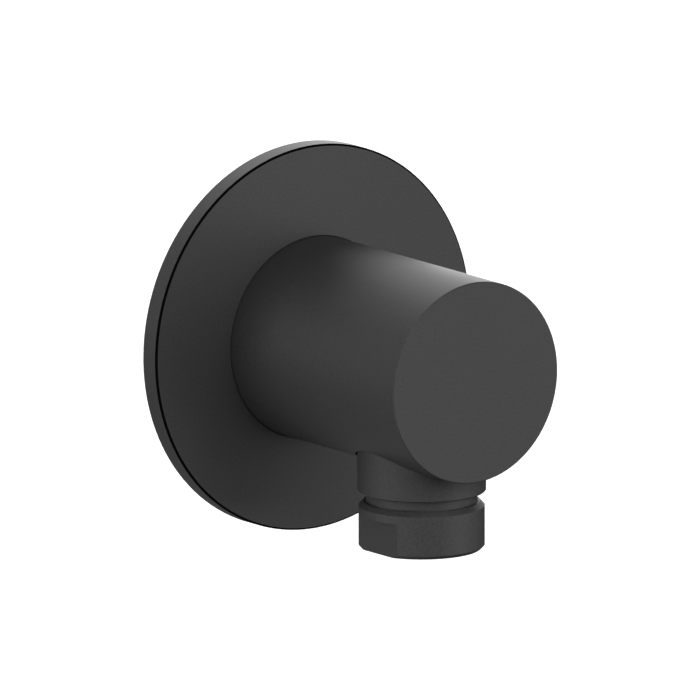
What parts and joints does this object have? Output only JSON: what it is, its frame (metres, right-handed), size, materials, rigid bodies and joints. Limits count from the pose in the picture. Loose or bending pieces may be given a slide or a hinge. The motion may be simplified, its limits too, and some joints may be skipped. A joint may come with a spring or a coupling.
{
  "type": "wall outlet elbow",
  "caption": "Matte black round wall outlet elbow for a shower hose, with an escutcheon, a bar body, a flatted hose collar and an inner non-return valve.",
  "frame": {"origin": "on the axis of the body and the inlet thread, in the plane of the wall's face, where the escutcheon's rim lies", "axes": "+Y into the wall along the inlet thread, the body stands out along -Y, the outlet points down along -Z"},
  "size_m": [0.065, 0.0621, 0.065],
  "materials": {
    "black_coat": "matte black coating",
    "bare_brass": "as turned",
    "steel": "satin",
    "rubber": "matte",
    "foam": "closed-cell foam",
    "valve_plastic": "moulded, natural",
    "poppet_plastic": "moulded, blue"
  },
  "bodies": {
    "fitting": {"escutcheon": "black_coat", "elbow_body": "black_coat", "outlet_nipple": "black_coat", "wall_nipple": "bare_brass", "set_screw": "steel", "escutcheon_ring": "rubber", "nipple_ring_front": "rubber", "nipple_ring_rear": "rubber", "outlet_washer": "rubber", "valve_ring": "rubber", "wall_seal": "foam", "valve_housing": "valve_plastic", "valve_guide": "valve_plastic", "valve_spring": "steel"},
    "poppet": {"valve_poppet": "poppet_plastic", "poppet_seal": "rubber"}
  },
  "joints": [
    {"name": "valve_lift", "type": "slide", "parent": "fitting", "child": "poppet", "axis": [0, 0, -1], "range_m": [0, 0.0025], "stiffness_N_per_m": 100, "springref_m": -0.004, "deforming": ["valve_spring"]}
  ]
}
